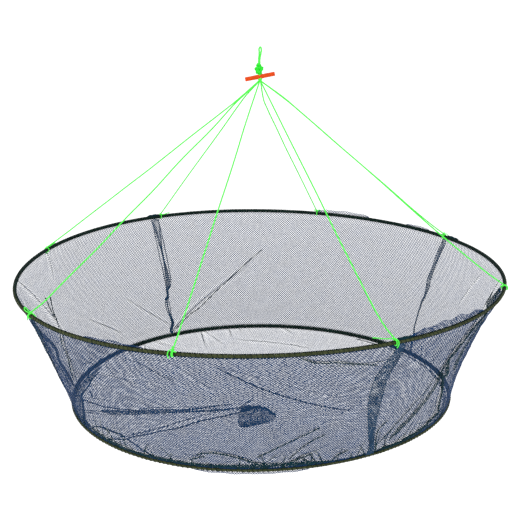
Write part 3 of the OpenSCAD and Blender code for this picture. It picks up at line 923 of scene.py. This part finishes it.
folds.free([(-441, -188, -48), (-431, -162, -90), (-422, -142, -123), (-415, -124, -154), (-404, -108, -183),
    (-395, -96, -214), (-387, -91, -233)], [1.0, 1.1, 0.9])
folds.free([(-453, -147, -61), (-443, -124, -106), (-432, -101, -151), (-421, -88, -189), (-409, -78, -227),
    (-394, -70, -258)], [1.2, 0.9, 0.8])
folds.free([(-460, 37, -70), (-456, 37, -80), (-449, 37, -99), (-441, 38, -118)], [0.5, 0.6])
folds.free([(-449, 37, -68), (-447, 37, -77), (-444, 38, -102), (-438, 38, -120), (-433, 39, -143)], [0.6, 0.7])
folds.free([(490, -70, -16), (484, -75, -26), (473, -79, -40), (463, -82, -54)], [2.5, 5, 6, 5], step=1.6)
folds.free([(474, -72, -24), (468, -76, -34), (460, -80, -46)], [0.7, 0.8])
folds.wall([(121.7, 0.982), (117.5, 0.909), (113.9, 0.849), (111, 0.813), (101.6, 0.619), (94.8, 0.458),
    (89.4, 0.334)], [0.45, 0.4, 0.3, 0.25], inside=True, off=1.0)
# The fold strips are folded-over mesh, drawn in the darker material as painted shade.
fold_piece = collapse(folds.make("wall_folds", NET_PAINTED_SHADE, "top_frame", "doubled_mesh"))

for k, (a0, a1) in enumerate(BOUNDS):
    i0, i1 = round(a0 / 360 * COLS), round(a1 / 360 * COLS)
    ob = net_piece(f"wall_net_{k + 1}", i0, i1, 0, ROWS, wall_func, NET, "top_frame")
    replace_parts(ob, f"wall_panel_{k + 1}")
    collapse(ob)
    for tag, j0, j1, body in (("top", -2 * WRAP, 0, "top_frame"),
        ("low", 2 * ROWS, 2 * (ROWS + WRAP), "bottom_frame")):
        net_piece(f"hem_{tag}_{k + 1}", 2 * i0, 2 * i1, j0, j1, hem_func, NET_HEM, body)

# ---------------------------------------------------------------- floor net
FLOOR_LINES = []


def flat(pts, n=40):
    """A line on the floor from places in mm."""
    p = smooth_path([(x, y, 0) for x, y in pts], n)
    return floor_at(p[:, 0] * MM / LOW_R, p[:, 1] * MM / LOW_R)


for pts, reach, ridge, power, full in [
    ([(-385, -130), (-300, -70), (-217, -8), (-120, 30), (-45, 50)], 16, 6, 2.6, "start"),
    ([(-370, -110), (-290, -62), (-210, -18), (-130, 18), (-60, 44)], 12, -4, 2.2, "start"),
    ([(-270, -215), (-205, -120), (-150, -47), (-95, 5), (-45, 38), (20, 30)], 15, 6, 2.6, "start"),
    ([(-106, 227), (-40, 200), (22, 169), (90, 125), (155, 80), (215, 52)], 12, 3, 2.1, False),
    ([(-300, 190), (-250, 215), (-200, 205), (-150, 160), (-110, 120)], 11, 3, 2.0, False),
    ([(-330, 120), (-280, 118), (-225, 90)], 9, 2, 1.9, False),
    ([(-350, -180), (-300, -190), (-240, -215), (-190, -260)], 13, 4, 2.2, "start"),
    ([(-60, 345), (40, 330), (120, 300)], 10, 2, 1.9, False),
    ([(-40, 60), (20, 100), (90, 150), (170, 190)], 9, 2, 1.7, False),
    ([(60, -180), (110, -90), (170, -20), (240, 40)], 9, 2, 1.7, False),
    ([(20, -290), (90, -210), (140, -150)], 9, 2, 1.8, "start"),
]:
    FLOOR_LINES.append((flat(pts), reach * MM, ridge * MM, power, full))
for k in range(70):
    a = math.radians(RNG.uniform(100, 345) if k < 55 else RNG.uniform(-15, 100))
    depth, lean = RNG.uniform(18, 80) if k < 55 else RNG.uniform(10, 30), RNG.uniform(-0.12, 0.12)
    r0 = 398.0
    line = [(r * math.cos(a + lean * f), r * math.sin(a + lean * f)) for f,
        r in ((0, r0), (0.5, r0 - depth / 2), (1, r0 - depth))]
    FLOOR_LINES.append((flat(line, 24), RNG.uniform(6, 12) * MM, RNG.uniform(-3, 3) * MM, RNG.uniform(1.7, 2.4),
        "start"))

FLAT_R = 0.402  # radius of the floor laid flat


def floor_net(i, j):
    x, y = i * HALF, j * HALF
    r = np.hypot(x, y)
    keep = np.minimum(1, (FLAT_R - 1 * MM) / np.maximum(r, 1e-9))
    x, y = x * keep / FLAT_R, y * keep / FLAT_R
    p = floor_at(x, y)
    e = 0.01
    n = normals_of(floor_at, x, y, e, e)
    n[n[:, 2] < 0] *= -1
    q = p
    shade_mask = np.zeros(len(p), bool)
    for path, reach, ridge, power, full in FLOOR_LINES:
        q = crease(q, n, shade_mask, path, reach, ridge, power, full)
    edge = np.clip((1 - np.hypot(x, y)) * 30, 0, 1)[:, None]
    return p * (1 - edge) + q * edge, n, shade_mask


half_cells = int(FLAT_R / HALF) + 2
fa, fb = lattice(-half_cells, half_cells, -half_cells, half_cells)
mid_r = np.hypot(*((fa + fb) / 2).T) * HALF
inside = mid_r < FLAT_R
fa, fb = fa[inside], fb[inside]
both = np.concatenate([fa, fb])
keys = (both[:, 0] + half_cells) * 4096 + both[:, 1] + half_cells
used, inverse = np.unique(keys, return_inverse=True)
fp, fn, floor_shaded = floor_net(used // 4096 - half_cells, used % 4096 - half_cells)
ia, ib = inverse[: len(fa)], inverse[len(fa):]
bands = np.floor((fa[:, 1] * HALF / FLAT_R + 1) * 2 * 0.9999).clip(0, 3).astype(int)
for k in range(4):
    pick = bands == k
    ob = threads(f"floor_net_{k + 1}", fp[ia[pick]], fp[ib[pick]], fn[ia[pick]], FLOOR_WIDE, THICK, NET,
                 "bottom_frame")
    # Gathered floor threads get the darker material as painted shade.
    darken(ob, floor_shaded[ia[pick]])
    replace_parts(ob, "floor_net")

creases = Bundle()
for layer in (0, 1):
    creases.floor([(-328, -191), (-318, -178), (-304, -182), (-279, -194), (-262, -212)], [1.6, 2.0, 1.9, 2.4],
        off=1.6 + layer)
    creases.floor([(-294, -250), (-261, -221), (-248, -198), (-221, -163), (-200, -135), (-168, -100), (-129, -51),
        (-84, -15), (-48, 11), (-25, 29)], [0.8, 2.2, 1.8, 1.6, 1.5, 1.6, 1.7, 1.8, 1.9, 1.4], step=0.8,
        off=1.6 + layer)
    creases.floor([(-375, -53), (-350, -62), (-323, -63), (-288, -54), (-254, -44), (-225, -23), (-174, -3),
        (-132, 18), (-99, 39), (-66, 51)], [0.7, 0.9, 1.0, 1.4, 1.6, 1.8, 1.8, 1.6, 1.0, 0.5], step=0.7,
        off=1.6 + layer)
    creases.floor([(-366, 98), (-374, 58), (-375, 26), (-378, -9), (-379, -39), (-372, -64), (-358, -121),
        (-347, -166), (-331, -193)], [1.0, 1.6, 1.8, 1.8, 2.0, 2.0, 2.0, 2.2, 2.0], off=1.6 + layer)
creases.floor([(-330, -88), (-300, -76), (-268, -62), (-236, -40), (-174, -9), (-105, 16), (-49, 38)],
    [15, 12, 9, 6, 4.5, 3, 2.5], step=2.3, off=1.2)
creases.floor([(-357, -118), (-336, -110), (-309, -97), (-283, -78), (-246, -56), (-173, -15), (-99, 13), (-49, 35)],
    [1.2, 1.2, 1.0])
creases.floor([(-258, -217), (-252, -226), (-231, -257), (-209, -297), (-199, -316)], [1.2, 1.1, 1.0])
creases.floor([(-320, 193), (-285, 188), (-254, 168), (-238, 158), (-221, 146), (-200, 140)], [0.7, 0.9, 0.7])
creases.floor([(-359, 99), (-332, 97), (-311, 95), (-293, 88)], [0.7, 0.9, 0.7])
creases.floor([(-154, 22), (-78, 24), (-67, 21), (-51, 18)], [0.5, 0.7])
creases.floor([(-52, 22), (-40, 48), (-27, 68), (-14, 89)], [0.8, 0.9, 0.5])
for layer in (0, 1):
    creases.floor([(-102, 217), (-50, 175), (-12, 143), (14, 123), (65, 84), (120, 40), (162, 7), (189, -10)],
        [0.7, 0.8, 0.9, 1.2, 1.3, 0.9, 0.5], step=0.5, off=1.6 + layer)
creases.floor([(-368, -2), (-362, -16), (-357, -32)], [1.1, 1.3])
for degrees, half in ((range(160, 236, 5), [4, 7, 7, 6, 4]), (range(238, 420, 7), [3, 4, 4, 3, 2])):
    edge = [(386 * math.cos(math.radians(a)), 386 * math.sin(math.radians(a))) for a in degrees]
    creases.floor(edge, half, step=1.9, off=0.8)
# The floor's crease strips are folded-over mesh, drawn in the darker material as painted shade.
floor_folds = creases.make("floor_folds", NET_PAINTED_SHADE, "bottom_frame", "doubled_mesh")

# ---------------------------------------------------------------- bait pocket
# (x, y) places in mm round the pocket, from the mouth's near corner to its far corner and back round the closed side.
MOUTH = [(-40, -66), (-46, -48), (-45, -30), (-45, -8), (-44, 14), (-42, 34)]
ROUND = [(-40, -66), (-19, -61), (-7, -54), (4, -49), (18, -43), (29, -33), (34, -18), (31, -2), (24, 9), (15, 26),
    (4, 34), (-6, 42), (-15, 47), (-27, 47), (-42, 34)]


def pocket_flat(u, v):
    """Places in mm on the floor: u from the near corner to the far one, v from the mouth to the closed side."""
    a = smooth_path([(x, y, 0) for x, y in MOUTH], 200)
    b = smooth_path([(x, y, 0) for x, y in ROUND], 200)
    k = np.clip(u * 199, 0, 199)
    pick = lambda c: np.stack([np.interp(k, np.arange(200), c[:, i]) for i in (0, 1)], -1)
    p = pick(a) * (1 - v)[:, None] + pick(b) * v[:, None]
    return p[:, 0], p[:, 1]


for layer in (0, 1):
    m, rows = 20 - 2 * layer, 26 - 2 * layer
    a, b = lattice(0, 2 * m, 0, rows)
    both = np.concatenate([a, b]).astype(float)
    u, v = both[:, 0] / (2 * m), both[:, 1] / rows
    x, y = pocket_flat(u, v)
    base = floor_at(x * MM / LOW_R, y * MM / LOW_R)
    swell = 1 - np.abs(2 * u - 1) ** 2.2
    puff = (1 - v) ** 0.5 * swell * (5.0 if layer else 2.0)
    wrinkle = 1.2 * np.sin(u * 18 + v * 4) * (1 - v) + 0.8 * np.sin(v * 17 + u * 10)
    base[:, 2] += (2.2 + 1.4 * layer + puff + wrinkle * 0.5) * MM
    n = np.tile([0.0, 0.0, 1.0], (len(both), 1))
    k = len(a)
    # Both layers of the pocket are real mesh, and their darker thread colour is painted shade.
    ob = threads(f"pocket_net_{layer + 1}", base[:k], base[k:], n[:k], 1.0 * MM, 0.3 * MM, NET_PAINTED_SHADE,
        "bottom_frame")
    if layer == 0:
        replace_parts(ob, "bait_pocket")
HEM = [(-44, 14), (-35, 20), (-27, 23), (-16, 33), (-6, 40), (4, 34), (15, 27), (24, 10), (30, 1), (34, -16)]
s = Shape()
for k, (off, rad) in enumerate(((0.0, 1.5), (1.7, 1.2), (-1.5, 1.2))):
    q = smooth_path([(x, y, 0) for x, y in HEM], 90)
    grow = np.sin(np.linspace(0, math.pi, 90)) ** 0.4
    wig = 1.0 * np.sin(np.arange(90) * 0.55 + k * 2) + 0.5 * np.sin(np.arange(90) * 1.3 + k)
    away = q[:, :2] / (np.linalg.norm(q[:, :2], axis=1)[:, None] + 1e-9)
    x, y = (q[:, :2] + away * (off * 0.8 + wig * 0.5)[:, None]).T
    path = floor_at(x * MM / LOW_R, y * MM / LOW_R)
    path[:, 2] += (4.6 + off * 0.5 + 0.5 * wig) * MM
    s.tube(path, rad * MM * (0.45 + 0.55 * grow) * (1 + 0.25 * np.sin(np.arange(90) * 0.8 + k)), sides=7, lobes=3,
        depth=0.2, pitch=6 * MM)
# The rolled hem takes the darker material, painted shade.
hem = s.make("pocket_hem_roll", NET_PAINTED_SHADE, "bottom_frame", "doubled_mesh")
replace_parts(hem, "pocket_hem")

# ---------------------------------------------------------------- ends of the seams rolled round the upper hoop
s = Shape()
for a0, a1, phi0, rad, off in ((31.0, 26.4, 75, 2.6, 4.2), (119.7, 123.3, 95, 2.8, 4.4),
    (299.3, 303.2, 100, 3.2, 5.0), (211.8, 207.5, 150, 2.6, 4.4)):
    az = np.radians(np.linspace(a0, a1, 60))
    grow = np.sin(np.linspace(0.12, math.pi - 0.05, 60)) ** 0.45
    for j in range(3):
        twist = np.linspace(0, 5, 60) + j * TURN / 3
        path = hoop(TOP_HOOP, az, off * MM + 1.1 * MM * np.cos(twist), math.radians(phi0) + 0.25 * np.sin(twist))
        s.tube(path, rad * 0.62 * MM * grow, sides=9, lobes=4, depth=0.18, pitch=7 * MM, phase=j)
# The rolled seam ends are real mesh, drawn in the darker material as painted shade.
s.make("seam_rolls", NET_PAINTED_SHADE, "top_frame", "doubled_mesh")


# ---------------------------------------------------------------- mesh that stands out past the hoops
def frill(name, h, az0, az1, height, phi0, body, lean, seed):
    """A strip of net that stands out past a hoop's lashing. height in mm, phi0 the section angle where it leaves."""
    i0, i1 = round(az0 / 360 * COLS), round(az1 / 360 * COLS)
    rows = max(2, round(abs(height) * MM / HALF))
    a, b = lattice(i0, i1, 0, rows)
    q = np.concatenate([a, b]).astype(float)
    az = q[:, 0] * TURN / COLS
    t = q[:, 1] / rows
    f = np.clip((az - math.radians(az0)) / math.radians(az1 - az0), 0, 1)
    env = np.sin(np.pi * f) ** 0.45 * (0.85 + 0.15 * np.sin(az * 61 + seed))
    base = hoop(h, az, HOLD, math.radians(phi0))
    out = np.stack([np.cos(az), np.sin(az), 0 * az], -1)
    wave = 1.2 * MM * np.sin(az * 47 + seed) * t
    p = base + out * ((lean * t)[:, None] * MM + wave[:, None])
    p[:, 2] += height * MM * t * env
    k = len(a)
    threads(name, p[:k], p[k:], out[:k], WIDE, THICK, NET, body)


frill("rim_frill_back", TOP_HOOP, 58, 74, 9, 100, "top_frame", lean=1, seed=1)
frill("rim_frill_back_small", TOP_HOOP, 38, 46, 5, 100, "top_frame", lean=1, seed=2)
frill("rim_frill_right", TOP_HOOP, 302, 327, 17, 110, "top_frame", lean=2, seed=3)
frill("rim_frill_left", TOP_HOOP, 232, 246, 6, 100, "top_frame", lean=1, seed=4)
frill("low_frill_front", LOW_HOOP, 252, 284, -4, -90, "bottom_frame", lean=1, seed=5)


# ---------------------------------------------------------------- ties
def tie(k, wraps, knots, tails):
    """The cord's end round the hoop. Curves are in mm: t along the hoop (anticlockwise), r outward, z up."""
    az = LEG_AZ[k]
    c = hoop(TOP_HOOP, az)
    et = np.array([-math.sin(az), math.cos(az), 0])
    er = np.array([math.cos(az), math.sin(az), 0])
    ez = np.array([0, 0, 1.0])
    at = lambda q: c + MM * (np.asarray(q)[..., :1] * et + np.asarray(q)[..., 1:2] * er + np.asarray(q)[...,
        2:3] * ez)
    s = Shape()
    for w in range(wraps):
        ph = np.linspace(0, TURN, 36)
        t0 = (w - (wraps - 1) / 2) * 2.1
        pts = np.stack([t0 + 1.3 * ph / TURN - 0.6, 5.0 * np.cos(ph + 1.6), 5.0 * np.sin(ph + 1.6)], -1)
        s.tube(at(pts), 1.0 * MM, sides=8, lobes=3, depth=0.15, pitch=6 * MM)
    for t, r, z, size in knots:
        knot_shape(s, at((t, r, z)), (3.5 * size, 3.0 * size, 3.1 * size), 1.0 * MM, strands=1, twist=az + k, n=70,
            lay=6 * MM)
    for pts in tails:
        s.tube(smooth_path(at(pts), 40), 0.95 * MM, sides=8, lobes=3, depth=0.15, pitch=6 * MM)
    ob = s.make(f"tie_{k + 1}", GREEN, "top_frame", "bridle_cord")
    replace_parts(ob, f"hoop_tie_{k + 1}")


# Left, then clockwise seen from above. Clockwise is -t.
tie(0, 1, knots=((0, -1, 6.2, 1.0), (1.2, 0, 4.0, 0.8)), tails=[[(0, -1, 6.5), (-6, -3, 6.4), (-14, -4, 7.4),
    (-22, -5, 8.4), (-31, -5, 7.4)], [(1, 1, 4), (2, 4, -1), (2, 2, -6), (1, -1, -9)]])
tie(1, 1, knots=((0, 0, 6.0, 1.0),), tails=[[(0, 0, 6), (-5, -2, 4.6), (-11, -3, 5.2), (-17, -3, 6.6),
    (-23, -3, 7.0)], [(1, 1, 6), (-6, 4, 2), (-12, 4.6, 2.6)]])
tie(2, 1, knots=((0, 0, 6.0, 1.15),), tails=[[(0, 0, 6.6), (4, 2, 9.6), (7, 2, 6.0), (2, 1, 5.4)], [(0, 0, 6),
    (-5, 1, 8.6), (-9, 1, 6.2), (-3, 1, 4.6)]])
tie(3, 2, knots=((0, -1, 6.0, 1.2),), tails=[[(0, -1, 6), (-4, 2, 7.4), (-8, 3, 5.6)], [(0, 0, 6), (3, 2, 9),
    (5, 2, 6.4)]])
tie(4, 2, knots=((0, -6.0, 2.6, 1.0),), tails=[[(0, -6, 3), (0, -2, 5.6), (1, 3, 5.4), (1.5, 6, 1.0), (1.5, 6.2, -4)],
    [(-1, -7, 2), (-1, -2, 5.0), (-2, 3, 5.4), (-3, 5.6, 1)]])
tie(5, 1, knots=((0, -1.5, 6.0, 1.1), (1.8, 0, 6.0, 0.7)), tails=[[(0, -2, 7), (-9, -7, 6.6), (-19, -11, 7.2),
    (-28, -14, 9.0), (-38, -15, 11.0)], [(1, 1, 6.6), (3.4, 4.4, 4.4), (4.2, 5.2, -1), (3.2, 4.4, -6),
    (1.4, 3.4, -9)]])
tie(6, 2, knots=((0, -1, 7.0, 1.15), (0, -1, 11.0, 0.85)), tails=[[(0, 0, 7), (-5, 3, 6.4), (-7, 5.4, 1),
    (-6.4, 5, -5), (-5, 4, -7.4)], [(0, 0, 6), (4, 3, 5.6), (8, 3, 5.2)]])
tie(7, 2, knots=((0, 0, 6.4, 1.15), (2.0, 0, 5.0, 0.8)), tails=[[(0, 0, 7), (-6, 2, 9.5), (-13, 4, 13.2),
    (-17, 5, 12.0), (-15, 5, 7.8), (-8, 3, 5.6), (0, 1, 5.4)], [(0, 0, 6), (7, -1, 7.0), (14, -2, 5.0),
    (20, -3, 2.6)], [(-1, 1, 5), (-2, 5, 1.0), (-3, 5.4, -5), (-3, 5, -9)]])

# ---------------------------------------------------------------- light and ground
world = bpy.data.worlds.new("studio")
SCENE.world = world
world.use_nodes = True
world.node_tree.nodes["Background"].inputs[0].default_value = (1, 1, 1, 1)
world.node_tree.nodes["Background"].inputs[1].default_value = 1.0
key = bpy.data.objects.new("key", bpy.data.lights.new("key", "AREA"))
key.data.energy, key.data.size = 22, 2.5
key.location = (-1.6, -2.4, 2.2)
key.rotation_euler = (math.radians(48), 0, math.radians(-33))
SCENE.collection.objects.link(key)

fme = bpy.data.meshes.new("ground")
g = 30.0
fme.from_pydata([(-g, -g, -2.2), (g, -g, -2.2), (g, g, -2.2), (-g, g, -2.2)], [], [(0, 1, 2, 3)])
ground = bpy.data.objects.new("ground", fme)
SCENE.collection.objects.link(ground)
pale = bpy.data.materials.new("pale_ground")
pale.use_nodes = True
pp = pale.node_tree.nodes["Principled BSDF"]
pp.inputs["Base Color"].default_value = (0.9, 0.9, 0.9, 1)
pp.inputs["Roughness"].default_value = 1.0
pp.inputs["Emission Color"].default_value = (1, 1, 1, 1)
pp.inputs["Emission Strength"].default_value = 0.35
fme.materials.append(pale)
SCENE.view_settings.view_transform = "Standard"
SCENE.cycles.use_denoising = False  # the threads lie about a pixel apart, and a denoiser smears them into blots
